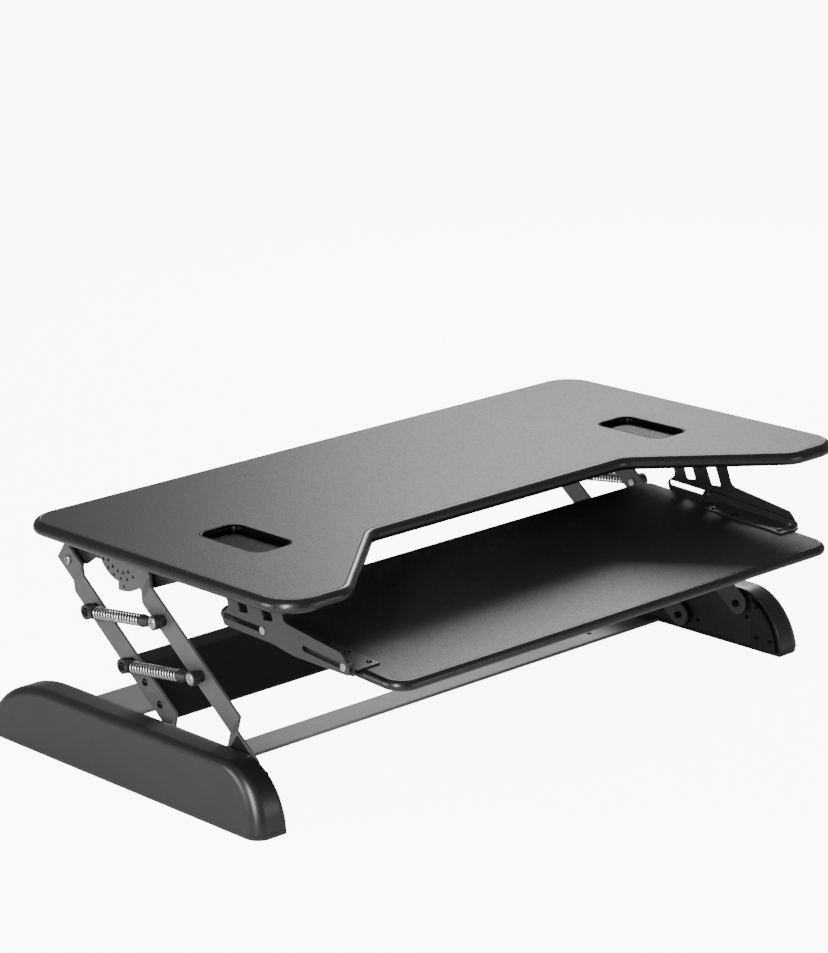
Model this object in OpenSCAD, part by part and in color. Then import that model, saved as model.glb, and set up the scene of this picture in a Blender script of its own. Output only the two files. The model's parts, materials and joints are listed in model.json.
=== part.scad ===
// Two-tier standing desk converter on parallel swing arms, about 48 in wide.
// X runs side to side, the user sits on the -Y side, Z = 0 is the surface it stands on.
// Every side piece is drawn for the right-hand side (+X) and mirrored for the left.

/* [Worktop] */
// Width of the worktop's flat top, side to side; the edge moulding comes on top
deck_w = 1219; // [1180:1:1224]
// Depth of the worktop at its two wings
deck_d = 656; // [640:1:670]
// Depth of the worktop at the middle of its front recess
deck_mid_d = 459; // [440:1:480]
// Thickness of the worktop board
deck_t = 22; // [18:1:22]
// How far the rounded moulding stands out round the worktop
deck_edge = 13; // [8:1:14]
// Y of the rear edge of the worktop
deck_rear_y = 305; // [301:1:309]

/* [Hand wells] */
// Size of a hand well across the worktop
well_w = 76; // [70:1:78]
// Size of a hand well front to back
well_l = 152; // [140:1:156]
// Distance of a well's middle from the middle of the worktop
well_x = 444; // [440:1:446]
// Y of a well's middle
well_y = -48; // [-54:1:-42]

/* [Swing arms] */
// Distance between an arm's two pivots
arm_len = 450; // [440:1:456]
// Angle of the arms above the level, as drawn
arm_angle = 38; // [34:0.5:44]
// Width of an arm bar
arm_w = 40; // [34:1:40]
// Thickness of an arm bar
arm_t = 5; // [4:0.5:5]

/* [Springs] */
// Distance along a rear arm from its foot pivot to the lower spring pin
low_spring_s = 229; // [220:1:236]
// Distance along a rear arm from its foot pivot to the upper spring pin
high_spring_s = 345; // [336:1:352]
// How much nearer the foot pivot the spring pins on the front arms are
spring_lead = 50; // [46:1:54]
// Outer radius of a spring coil
coil_r = 10.5; // [9:0.5:10.5]
// Number of coils drawn on each spring
coils = 17; // [12:1:20]

/* [Keyboard tray] */
// Width of the tray's flat top
tray_w = 956; // [900:1:960]
// Depth of the tray's flat top
tray_d = 421; // [400:1:424]
// How far the rounded moulding stands out round the tray
tray_edge = 10; // [6:1:11]
// Thickness of the tray board
tray_t = 17; // [15:1:18]
// Height of the top of the tray's front edge, as drawn
tray_front_z = 269.2; // [266:0.1:274]
// Downward tilt of the tray towards the user, as drawn
tray_tilt = 3.4; // [2.8:0.1:4]

/* [Feet] */
// Height of a foot's flat top
foot_h = 110; // [104:1:110]
// Y of the front end of a foot
foot_front_y = -265; // [-269:1:-263]
// Y of the rear end of a foot
foot_rear_y = 455; // [451:1:459]
// Thickness of the two flat bars that join the feet
bar_t = 6; // [5:0.5:6]

/* [Hidden] */
$fn = 48;
left = -1;
right = 1;
sides = [left, right];

// Pivot places as [y, z]; the four of a side make a parallelogram.
front_foot = [-173, 85];
rear_foot = [-32, 32];
arm_dir = [cos(arm_angle), sin(arm_angle)];
front_deck = front_foot + arm_len * arm_dir;
rear_deck = rear_foot + arm_len * arm_dir;
deck_top = front_deck.y + 43;
deck_under = deck_top - deck_t;
deck_front_y = deck_rear_y - deck_d;
deck_mid_y = deck_rear_y - deck_mid_d;

// Layers of the side pieces, as distances from the middle plane to their inner faces.
hanger_x = 501;     // tray hanger plate
hanger_t = 3;
bracket_x = 506;    // lift bracket plate
bracket_t = 4;
sector_x = 516;     // top of a front arm
rear_top_x = 518;   // top of a rear arm
main_x = 528;       // middle stretch of both arms
low_x = 548.5;      // lower ends of both arms
pad_t = 2;
front_bend = [348, 369];   // start and end of a front arm's upper jog
foot_in_x = 561;    // inner face of a foot
foot_out_x = 620;   // widest point of a foot
foot_top_x = 604;   // outer edge of a foot's flat top
plate_t = 4;
pivot_r = 5;        // shank of a pivot bolt
run_gap = 0.06;     // radial clearance of a running fit
open_gap = 0.3;     // radial clearance where the linkage closes

// Feet, seen from the side: elliptical front and rear ends on one level base line.
foot_low_z = 10;
foot_curve_z = 5;
front_curve = 95;
rear_curve = 165;
shell_t = 3;
bar_z = 3;
front_bar_y = [28, 89];
rear_bar_y = [323, 445];
bar_screw_x = 412;

// Springs: both on a side lie the same way, so one angle and one length serve all.
pin_from_rear = front_foot - rear_foot - spring_lead * arm_dir;
spring_len = norm(pin_from_rear);
spring_rise = atan2(pin_from_rear.y, -pin_from_rear.x);
spring_x = 549;
spring_pin_r = 4;
eye_w = 11.4;
wire_r = 1.6;
coil_start = 23;
coil_end = 149;

// Lock: two rows of holes round the front arm's deck pivot.
row_r = [45, 56];
row_pitch = 18;
inner_row = [47 : -row_pitch : -25];
outer_row = [56 : -row_pitch : -34];
lock_hole_r = 3.2;
lock_tip_r = 3;
lock_r = 4;
lock_at = front_deck + row_r[0] * [sin(11), -cos(11)];

// Tray runners: two pins a side, each in its own slot of the hanger.
tray_front_y = -445;
pin_r = 4;
slot_half = 4.7;
rear_pin = [-156, 291.5];
slide_dir = [cos(2.4), sin(2.4)];
slide_len = 92;
pin_gap = 191.5;
pin_line = 4.34;      // angle of the line between the pins, as drawn
pin_turn = -1.17;     // turn of the tray over the whole slide
bracket_pl_x = 493;
bracket_pl_t = 3;
flange_x = 450;
tray_screw_x = 460;
tray_screw_s = [90 : 50 : 240];

// Paddles in the hand wells.
paddle_axis = [470, deck_top - 26];   // x, z
paddle_pin_r = 2.5;

black_paint = [0.16, 0.16, 0.17];
grey_paint = [0.42, 0.42, 0.43];
steel = [0.75, 0.75, 0.77];
board = [0.25, 0.25, 0.26];
plastic = [0.2, 0.2, 0.21];
rubber = [0.08, 0.08, 0.08];

// ---------- small helpers ----------

module on(side) {
  if (side == right) children();
  else mirror([1, 0, 0]) children();
}

// A flat plate across X: the outline is drawn as (Y, Z).
module plate(x, t) {
  translate([x, 0, 0]) rotate([90, 0, 90]) linear_extrude(t) children();
}

// A round bar along +X from x, centred at p = [y, z].
module bar(x, len, r, p) {
  translate([x, p.x, p.y]) rotate([0, 90, 0]) cylinder(h = len, r = r);
}

// Frame of an arm: origin at its foot pivot, +Y along the arm.
module along_arm(foot) {
  translate([0, foot.x, foot.y]) rotate([arm_angle, 0, 0]) children();
}

function arm_point(foot, s) = foot + s * arm_dir;

// Frame of a spring: origin at its rear pin, -Y along the spring.
module along_spring(s) {
  at = arm_point(rear_foot, s);
  translate([spring_x, at.x, at.y]) rotate([-spring_rise, 0, 0]) children();
}

// Frame of the tray board: origin at the top of its front edge.
module on_tray() {
  translate([0, tray_front_y, tray_front_z]) rotate([tray_tilt, 0, 0]) children();
}

function unit(v) = v / norm(v);

// Arc of radius r that rounds the corner b between a and c.
function corner(a, b, c, r, n = 8) =
  r == 0 ? [b] :
  let (
    u = unit(a - b),
    v = unit(c - b),
    half = acos(u * v) / 2,
    mid = b + unit(u + v) * r / sin(half),
    p = b + u * r / tan(half) - mid,
    q = b + v * r / tan(half) - mid,
    a0 = atan2(p.y, p.x),
    sweep = (atan2(q.y, q.x) - a0 + 540) % 360 - 180
  )
  [for (i = [0 : n]) mid + r * [cos(a0 + sweep * i / n), sin(a0 + sweep * i / n)]];

function xy(p) = [p.x, p.y];

// Outline through points [x, y, corner radius].
function rounded(pts) =
  let (n = len(pts))
  [for (i = [0 : n - 1])
    each corner(xy(pts[(i + n - 1) % n]), xy(pts[i]), xy(pts[(i + 1) % n]), pts[i].z)];

function rounded_box(w, l, r) =
  rounded([[w / 2, l / 2, r], [-w / 2, l / 2, r], [-w / 2, -l / 2, r], [w / 2, -l / 2, r]]);

// ---------- feet and base ----------

function foot_side(inset, low) =
  let (
    height = foot_h - foot_curve_z - inset,
    rear_a = rear_curve - inset,
    front_a = front_curve - inset,
    rear_c = foot_rear_y - rear_curve,
    front_c = foot_front_y + front_curve
  )
  concat(
    [[rear_c + rear_a, low]],
    [for (t = [0 : 6 : 90]) if (foot_curve_z + height * sin(t) > low)
      [rear_c + rear_a * cos(t), foot_curve_z + height * sin(t)]],
    [for (t = [90 : -6 : 0]) if (foot_curve_z + height * sin(t) > low)
      [front_c - front_a * cos(t), foot_curve_z + height * sin(t)]],
    [[front_c - front_a, low]]
  );

function foot_plan(inset) =
  rounded([
    [foot_in_x, foot_rear_y - inset, 0], [foot_in_x, foot_front_y + inset, 0],
    [foot_out_x - inset, foot_front_y + inset, 26], [foot_out_x - inset, foot_rear_y - inset, 26]
  ]);

function foot_section(inset, low) =
  rounded([
    [foot_in_x, low, 0], [foot_out_x - inset, low, 0],
    [foot_top_x - inset, foot_h - inset, 14], [foot_in_x, foot_h - inset, 0]
  ]);

module foot_block(inset, low) {
  intersection() {
    plate(foot_in_x, foot_out_x - foot_in_x) polygon(foot_side(inset, low));
    linear_extrude(foot_h) polygon(foot_plan(inset));
    translate([0, foot_rear_y, 0]) rotate([90, 0, 0])
      linear_extrude(foot_rear_y - foot_front_y) polygon(foot_section(inset, low));
  }
}

module foot_cover(side) {
  color(plastic) on(side) difference() {
    foot_block(0, foot_low_z);
    foot_block(shell_t, foot_low_z - 1);
  }
}

module foot_plate(side) {
  color(black_paint) on(side) difference() {
    union() {
      intersection() {
        plate(foot_in_x, plate_t) polygon(foot_side(shell_t + 1, foot_low_z - 0.5));
        translate([foot_in_x, foot_front_y + 66, 0])
          cube([plate_t, foot_rear_y - foot_front_y - 80, foot_h]);
      }
      for (y = [front_bar_y, rear_bar_y])
        translate([530, y[0] + 6, bar_z + bar_t + 0.2])
          cube([foot_in_x - 530 + 1, y[1] - y[0] - 12, 2.4]);
    }
    for (p = [front_foot, rear_foot]) bar(foot_in_x - 1, plate_t + 2, pivot_r + run_gap, p);
    for (p = plate_screws) bar(foot_in_x - 1, plate_t + 2, 2.1, p);
  }
}

module foot_nose(side) {
  color(plastic) on(side) difference() {
    intersection() {
      plate(foot_in_x - 5, 4.8) polygon(foot_side(8, foot_low_z - 0.5));
      translate([foot_in_x - 6, foot_front_y, 0]) cube([6, 64, foot_h]);
    }
    for (p = nose_screws) bar(foot_in_x - 6, 7, 2.1, p);
  }
}

nose_screws = [[-214, 85], [-214, 28], [-246, 28]];
plate_screws = [[-187, 59], [-68, 27]];

module foot_base(side) {
  color(plastic) on(side) translate([0, 0, 2])
    linear_extrude(7) polygon(foot_plan(0.8));
}

module floor_pads() {
  color(rubber) for (side = sides) on(side)
    for (y = [-155, 95, 345]) translate([590, y, 0])
      linear_extrude(2) polygon(rounded_box(34, 110, 10));
}

module crossbar(span) {
  color(grey_paint) difference() {
    translate([-foot_in_x + 0.5, span[0], bar_z])
      cube([2 * foot_in_x - 1, span[1] - span[0], bar_t]);
    for (side = sides) for (x = bar_holes)
      translate([side * x, (span[0] + span[1]) / 2, 0]) cylinder(h = 20, r = 2.1);
  }
}

bar_holes = [bar_screw_x, 544];

module front_crossbar() { crossbar(front_bar_y); }
module rear_crossbar() { crossbar(rear_bar_y); }

module base_screws() {
  head_z = bar_z + bar_t;
  color(steel) for (side = sides) on(side) {
    for (y = [front_bar_y, rear_bar_y]) {
      mid = (y[0] + y[1]) / 2;
      translate([bar_screw_x, mid, bar_z]) cylinder(h = bar_t, r = 2);
      translate([bar_screw_x, mid, head_z + 0.05]) cylinder(h = 2, r1 = 4.5, r2 = 3);
    }
    for (p = nose_screws) {
      bar(foot_in_x - 5, 4.8, 2, p);
      bar(foot_in_x - 6.8, 1.75, 3.6, p);
    }
    for (p = plate_screws) {
      bar(foot_in_x - 0.1, plate_t, 2, p);
      bar(foot_in_x - 1.8, 1.75, 3.6, p);
    }
  }
}

module arm_pivot_bolts() {
  color(steel) for (side = sides) on(side) for (p = [front_foot, rear_foot]) {
    bar(low_x - 0.3, foot_in_x + plate_t - low_x + 6, pivot_r, p);
    bar(low_x - 4.3, 4, 6.5, p);
    bar(foot_in_x + plate_t + 0.3, 5, 8, p);
  }
}

module arm_pivot_spacers() {
  x = low_x + arm_t + pad_t + 0.4;
  color(steel) for (side = sides) on(side) for (p = [front_foot, rear_foot])
    difference() {
      bar(x, foot_in_x - x - 0.1, 9, p);
      bar(x - 1, foot_in_x - x + 2, pivot_r + run_gap, p);
    }
}

// ---------- swing arms ----------

// Edge view of an arm with its two jogs, as points [x, distance along the arm].
function arm_edge(top_x, low_bend, main_start, main_end, top_bend, top) =
  let (line = [[low_x, 0], [low_x, low_bend], [main_x, main_start],
               [main_x, main_end], [top_x, top_bend], [top_x, top]])
  concat([for (p = line) [p.x + arm_t, p.y]], [for (i = [5 : -1 : 0]) line[i]]);

module arm_strip(edge) {
  linear_extrude(arm_w, center = true) polygon(edge);
  translate([low_x, 0, 0]) rotate([0, 90, 0]) cylinder(h = arm_t, r = arm_w / 2);
}

// Hole across an arm at distance s from its foot pivot.
module arm_hole(s, r) {
  translate([sector_x - 20, s, 0]) rotate([0, 90, 0]) cylinder(h = 80, r = r);
}

// Wedge of radius r about the front deck pivot, between two angles from straight down.
module wedge(r, from, to) {
  translate(front_deck) intersection() {
    circle(r = r, $fn = 96);
    polygon([[0, 0], 2 * r * [sin(from), -cos(from)],
             2 * r * [sin((from + to) / 2), -cos((from + to) / 2)],
             2 * r * [sin(to), -cos(to)]]);
  }
}

// Flat top end of a front arm, with the notched plate that turns about the deck pivot.
module sector_outline() {
  wedge(63, 68, -50);
  wedge(76, 8, -52);
  translate(front_deck) circle(r = arm_w / 2);
  translate(front_foot) rotate(arm_angle) translate([front_bend[1] + 1, -arm_w / 2])
    square([arm_len - front_bend[1], arm_w]);
}

module front_arm(side) {
  color(grey_paint) on(side) difference() {
    union() {
      along_arm(front_foot)
        arm_strip(arm_edge(sector_x, 56, 78, front_bend[0], front_bend[1], front_bend[1] + 5));
      plate(sector_x, arm_t) sector_outline();
    }
    along_arm(front_foot) {
      arm_hole(0, pivot_r + run_gap);
      arm_hole(arm_len, pivot_r + run_gap);
      for (s = [low_spring_s, high_spring_s]) arm_hole(s - spring_lead, spring_pin_r + run_gap);
    }
    plate(sector_x - 1, arm_t + 2) {
      for (a = inner_row) translate(front_deck + row_r[0] * [sin(a), -cos(a)])
        circle(r = lock_hole_r);
      for (a = outer_row) translate(front_deck + row_r[1] * [sin(a), -cos(a)])
        circle(r = lock_hole_r);
      translate(front_deck + 68 * [sin(-5), -cos(-5)]) circle(r = lock_hole_r);
    }
  }
}

module rear_arm(side) {
  color(grey_paint) on(side) along_arm(rear_foot) difference() {
    arm_strip(arm_edge(rear_top_x, 80, 106, 400, 421, arm_len + 24));
    arm_hole(0, pivot_r + run_gap);
    arm_hole(arm_len, pivot_r + open_gap);
    for (s = [low_spring_s, high_spring_s]) arm_hole(s, spring_pin_r + run_gap);
    for (s = panel_screw_s) arm_hole(s, 3.05);
  }
}

// Slippery pads on the outer faces of the lower arm ends.
module arm_pads(foot) {
  color(rubber) for (side = sides) on(side) along_arm(foot) difference() {
    union() {
      translate([low_x + arm_t + 0.1, 0, -17]) cube([pad_t - 0.1, 50, 34]);
      translate([low_x + arm_t + 0.1, 0, 0]) rotate([0, 90, 0])
        cylinder(h = pad_t - 0.1, r = 17);
    }
    arm_hole(0, pivot_r + run_gap);
  }
}

module front_arm_pads() { arm_pads(front_foot); }
module rear_arm_pads() { arm_pads(rear_foot); }

// Sheet steel panel that ties the two rear arms together.
panel_s = [119, 254];
panel_screw_s = [142, 189];
panel_drop = -17;     // place of the web, square to the arms
panel_t = 2;
panel_fold = [22, 4];  // depth and angle of the fold along the panel's upper edge

module cross_panel() {
  half = main_x - 0.2;
  crease = [panel_s[1] - panel_fold[0], panel_drop];
  edge = [for (z = [-panel_t, 0]) crease + [
    panel_fold[0] * cos(panel_fold[1]) + z * sin(panel_fold[1]),
    z * cos(panel_fold[1]) - panel_fold[0] * sin(panel_fold[1])
  ]];
  color(black_paint) along_arm(rear_foot) difference() {
    union() {
      plate(-half, 2 * half) polygon([
        [panel_s[0], panel_drop - panel_t], [crease.x, panel_drop - panel_t], edge[0], edge[1],
        crease, [panel_s[0] + panel_t, panel_drop], [panel_s[0] + panel_t, panel_drop + 2],
        [panel_s[0], panel_drop + 2]
      ]);
      for (side = sides) on(side)
        translate([half - panel_t, panel_s[0] + 9, panel_drop - 0.5]) cube([panel_t, 76, 34]);
    }
    for (side = sides) on(side) for (s = panel_screw_s)
      translate([half - 10, s, 0]) rotate([0, 90, 0]) cylinder(h = 12, r = 3.05);
  }
}

module panel_screws() {
  color(black_paint) for (side = sides) on(side) along_arm(rear_foot)
    for (s = panel_screw_s) {
      translate([main_x - 6, s, 0]) rotate([0, 90, 0]) cylinder(h = arm_t + 6.1, r = 3);
      translate([main_x - 6, s, 0]) rotate([0, 90, 0]) cylinder(h = 3.6, r = 5.5);
      translate([main_x + arm_t + 0.1, s, 0]) rotate([0, 90, 0]) cylinder(h = 3.4, r1 = 6.5, r2 = 4);
    }
}

// ---------- springs ----------

module spring_bushes() {
  face = main_x + arm_t;
  color(rubber) for (side = sides) on(side) for (s = [low_spring_s, high_spring_s]) {
    p = arm_point(front_foot, s - spring_lead);
    difference() {
      bar(face + 0.1, spring_x - eye_w / 2 - face - 0.4, 9.8, p);
      bar(face - 1, 30, spring_pin_r + run_gap, p);
    }
  }
}

module spring_screws() {
  color(steel) for (side = sides) on(side) for (s = [low_spring_s, high_spring_s]) {
    p = arm_point(front_foot, s - spring_lead);
    bar(main_x - 3.6, 3.5, 7, p);
    bar(main_x - 0.3, spring_x + eye_w / 2 + 1 - main_x, spring_pin_r, p);
    bar(spring_x + eye_w / 2 + 0.3, 2.6, 9.5, p);
  }
}

module spring_posts() {
  face = main_x + arm_t;
  color(black_paint) for (side = sides) on(side) for (s = [low_spring_s, high_spring_s]) {
    p = arm_point(rear_foot, s);
    bar(main_x - 3.6, 3.5, 7, p);
    bar(main_x - 0.4, spring_x + eye_w / 2 + 0.9 - main_x, spring_pin_r, p);
    bar(face + 0.1, spring_x - eye_w / 2 - face - 0.4, 11, p);
    bar(spring_x + eye_w / 2 + 0.3, 2.6, 7, p);
  }
}

// Rear half of a spring: cap on the pin, seat for the coil, and the guide rod.
module spring_cap(s) {
  along_spring(s) difference() {
    union() {
      translate([-eye_w / 2, 0, 0]) rotate([0, 90, 0]) cylinder(h = eye_w, r = 13);
      rotate([90, 0, 0]) translate([0, 0, 8]) cylinder(h = 14, r = 11);
      rotate([90, 0, 0]) cylinder(h = 150, r = 4);
    }
    translate([-20, 0, 0]) rotate([0, 90, 0]) cylinder(h = 40, r = spring_pin_r + run_gap);
    for (x = [eye_w / 2, -eye_w / 2 - 20]) translate([x, -13, -20]) cube([20, 20, 40]);
  }
}

// Front half of a spring: eye on the screw, seat for the coil, and the guide tube.
module spring_eye(s) {
  along_spring(s) difference() {
    union() {
      translate([-eye_w / 2, -spring_len, 0]) rotate([0, 90, 0]) cylinder(h = eye_w, r = 12);
      rotate([90, 0, 0]) translate([0, 0, coil_end + 1])
        cylinder(h = spring_len - coil_end - 13, r1 = 11, r2 = 8);
      rotate([90, 0, 0]) translate([0, 0, 85]) cylinder(h = spring_len - 97, r = 5.6);
    }
    translate([-20, -spring_len, 0]) rotate([0, 90, 0]) cylinder(h = 40, r = 6);
    rotate([90, 0, 0]) translate([0, 0, 80]) cylinder(h = 78, r = 4 + run_gap);
  }
}

// Row of coils between the two seats.
module spring_coils(s) {
  pitch = (coil_end - coil_start - 2 * wire_r) / (coils - 1);
  along_spring(s) rotate([90, 0, 0]) for (i = [0 : coils - 1])
    translate([0, 0, coil_start + wire_r + i * pitch])
      rotate_extrude() translate([coil_r - wire_r, 0]) circle(r = wire_r, $fn = 20);
}

module upper_spring_caps() { color(plastic) for (side = sides) on(side) spring_cap(high_spring_s); }
module upper_spring_eyes() { color(plastic) for (side = sides) on(side) spring_eye(high_spring_s); }
module upper_springs() { color(steel) for (side = sides) on(side) spring_coils(high_spring_s); }
module lower_spring_caps() { color(plastic) for (side = sides) on(side) spring_cap(low_spring_s); }
module lower_spring_eyes() { color(plastic) for (side = sides) on(side) spring_eye(low_spring_s); }
module lower_springs() { color(steel) for (side = sides) on(side) spring_coils(low_spring_s); }

// ---------- worktop ----------

lip_w = 4;            // lip of a well's trim, let into the worktop
lip_t = 1.6;
wing_in_x = 500;      // where a wing's front edge meets the slanted side of the recess
recess_x = 286;       // where the recess's straight edge meets it

module worktop() {
  e = deck_edge;
  half = deck_w / 2 + e;
  rear = deck_rear_y + e;
  front = deck_front_y - e;
  bend = e * tan(22.5);
  color(board) difference() {
    translate([0, 0, deck_under]) linear_extrude(deck_t) polygon(rounded([
      [half, rear, 50 + e], [-half, rear, 50 + e], [-half, front, 50 + e],
      [-wing_in_x + bend, front, 45 + e], [-recess_x + bend, deck_mid_y - e, 40],
      [recess_x - bend, deck_mid_y - e, 40], [wing_in_x - bend, front, 45 + e],
      [half, front, 50 + e]
    ]));
    for (side = sides) translate([side * well_x, well_y, 0]) {
      translate([0, 0, deck_under - 1]) linear_extrude(deck_t + 2)
        polygon(rounded_box(well_w, well_l, 20));
      translate([0, 0, deck_top - lip_t - 0.1]) linear_extrude(deck_t)
        polygon(rounded_box(well_w + 2 * lip_w, well_l + 2 * lip_w, 20 + lip_w));
    }
  }
}

// Lip and sleeve that line a hand well.
module well_trim(side) {
  drop = 12;
  color(plastic) on(side) difference() {
    translate([well_x, well_y, deck_under - drop]) {
      linear_extrude(deck_t + drop - lip_t + 0.4)
        polygon(rounded_box(well_w - 0.4, well_l - 0.4, 19.8));
      translate([0, 0, deck_t + drop - lip_t]) linear_extrude(lip_t - 0.1)
        polygon(rounded_box(well_w + 2 * lip_w - 0.4, well_l + 2 * lip_w - 0.4, 19.8 + lip_w));
    }
    translate([well_x, well_y, deck_under - drop - 1]) linear_extrude(deck_t + drop + 4)
      polygon(rounded_box(well_w - 6, well_l - 6, 17));
    paddle_rod(200, paddle_pin_r + run_gap);
  }
}

// Plate under the worktop that carries the arm pivots and the lock.
flange_w = 24;

module lift_bracket(side) {
  y0 = deck_rear_y;
  arch = deck_under - 61;
  lobe = rear_deck.y - 22;
  color(black_paint) on(side) difference() {
    union() {
      plate(bracket_x, bracket_t) {
        polygon([
          [y0 + 40, deck_under - 0.2], [y0 - 406, deck_under - 0.2], [y0 - 176, deck_under - 87],
          [y0 - 112, deck_under - 87], [y0 - 70, arch], [y0 - 40, arch],
          [y0 - 14, deck_under - 78], [rear_deck.x, rear_deck.y], [y0 + 40, rear_deck.y]
        ]);
        translate(rear_deck) circle(r = 22);
      }
      translate([bracket_x - flange_w, y0 - 330, deck_under - 3.2]) cube([flange_w + 1, 315, 3]);
    }
    for (p = [front_deck, rear_deck]) bar(bracket_x - 1, bracket_t + 2, pivot_r + run_gap, p);
    bar(bracket_x - 1, bracket_t + 2, lock_tip_r + 0.3, lock_at);
    for (y = bracket_screw_y) translate([bracket_x - 14, y, deck_under - 10]) cylinder(h = 20, r = 2.6);
  }
}

bracket_screw_y = [-10, 85, 180, 270];

module deck_pivot_bolts() {
  color(steel) for (side = sides) on(side) {
    for (p = [front_deck, rear_deck]) {
      bar(bracket_x - 5.2, 5, 8, p);
      bar(bracket_x - 0.5, 5, pivot_r, p);
    }
    bar(bracket_x, sector_x + arm_t + 0.3 - bracket_x, pivot_r, front_deck);
    bar(sector_x + arm_t + 0.2, 4, 7.5, front_deck);
    bar(bracket_x, rear_top_x + arm_t + 0.3 - bracket_x, pivot_r, rear_deck);
    bar(rear_top_x + arm_t + 0.2, 4, 7.5, rear_deck);
  }
}

module deck_pivot_spacers() {
  x = bracket_x + bracket_t + 0.1;
  color(rubber) for (side = sides) on(side) difference() {
    union() {
      bar(x, sector_x - x - 0.1, 12, front_deck);
      bar(x, rear_top_x - x - 0.1, 15, rear_deck);
    }
    for (p = [front_deck, rear_deck]) bar(x - 1, 20, pivot_r + run_gap, p);
  }
}

// Guide block of the lock bolt, on the inner face of the lift bracket.
module lock_housings() {
  color(plastic) for (side = sides) on(side) difference() {
    translate([bracket_x - 26, lock_at.x - 9, lock_at.y - 9]) cube([25.9, 18, 18]);
    bar(bracket_x - 27, 28, lock_r + run_gap, lock_at);
  }
}

module lock_bolt(side) {
  color(steel) on(side) {
    bar(bracket_x - 34, 32, lock_r, lock_at);
    bar(bracket_x - 4, sector_x - bracket_x + 3.6, lock_tip_r, lock_at);
  }
}

// Sheathed cable from the paddle to the lock, clipped under the worktop.
cable_r = 2.5;
cable_bend = 18;
cable_x = 452;
cable_z = deck_under - 9;
cable_y = well_y + well_l / 2;

module release_cables() {
  end_x = bracket_x - 39.2;
  color(rubber) for (side = sides) on(side) {
    translate([cable_x, cable_y, cable_z]) rotate([-90, 0, 0])
      cylinder(h = lock_at.x - cable_y - cable_bend, r = cable_r);
    translate([cable_x, lock_at.x - cable_bend, cable_z - cable_bend]) rotate([90, 0, 90])
      rotate_extrude(angle = 90) translate([cable_bend, 0]) circle(r = cable_r);
    translate([cable_x, lock_at.x, lock_at.y + 12])
      cylinder(h = cable_z - cable_bend - lock_at.y - 12, r = cable_r);
    translate([cable_x + 12, lock_at.x, lock_at.y + 12]) rotate([90, 0, 0]) rotate([0, 0, 180])
      rotate_extrude(angle = 90) translate([12, 0]) circle(r = cable_r);
    bar(cable_x + 12, end_x - cable_x - 12, cable_r, lock_at);
  }
}

module deck_screws() {
  color(steel) for (side = sides) on(side) {
    for (y = bracket_screw_y) translate([bracket_x - 14, y, deck_under - 6]) {
      cylinder(h = 2.7, r = 4.5);
      cylinder(h = 5.9, r = 2.5);
    }
    for (y = hanger_screw_y) translate([hanger_x - 9, y, deck_under - 6]) {
      cylinder(h = 2.7, r = 4.5);
      cylinder(h = 5.9, r = 2.5);
    }
  }
}

// ---------- lock paddles ----------

module paddle_rod(len, r) {
  translate([paddle_axis.x, well_y - len / 2, paddle_axis.y]) rotate([-90, 0, 0])
    cylinder(h = len, r = r);
}

module paddle(side) {
  ax = paddle_axis.x;
  az = paddle_axis.y;
  top = deck_top - 10;
  low_x = well_x - well_w / 2 + 6;
  color(plastic) on(side) difference() {
    union() {
      translate([0, well_y + 62, 0]) rotate([90, 0, 0]) linear_extrude(124)
        polygon([[low_x, top], [ax, top], [ax + 4, top - 3], [ax + 4, az], [ax - 4, az - 4],
                 [ax - 9, top - 7], [low_x + 5, top - 7], [low_x + 5, top - 26], [low_x, top - 26]]);
      paddle_rod(124, 5);
    }
    paddle_rod(140, paddle_pin_r + run_gap);
  }
}

module paddle_pins() {
  color(steel) for (side = sides) on(side) {
    paddle_rod(well_l + 1, paddle_pin_r);
    for (turn = [0, 180]) translate([paddle_axis.x, well_y, paddle_axis.y])
      rotate([90, 0, turn]) translate([0, 0, well_l / 2 + 0.1]) cylinder(h = 1.4, r = 3.8);
  }
}

// ---------- tray hangers ----------

hanger_screw_y = [deck_rear_y - 367, deck_rear_y - 418, deck_rear_y - 476];

// Front and rear edges of the two windows in a hanger, ahead of the worktop's rear edge.
hanger_windows = [[-380, -402, -428, -405], [-435, -462, -488, -464]];

function slide_pin(t) = rear_pin + t * slide_len * slide_dir;
function front_pin(t) =
  let (a = pin_line + t * pin_turn) slide_pin(t) - pin_gap * [cos(a), sin(a)];

// Slot of half-width w round a path of points.
module slot(path, w) {
  n = len(path) - 1;
  dirs = [for (i = [0 : n]) unit(path[min(i + 1, n)] - path[max(i - 1, 0)])];
  polygon(concat(
    [for (i = [0 : n]) path[i] + w * [-dirs[i].y, dirs[i].x]],
    [for (i = [n : -1 : 0]) path[i] - w * [-dirs[i].y, dirs[i].x]]
  ));
  for (i = [0, n]) translate(path[i]) circle(r = w);
}

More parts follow.
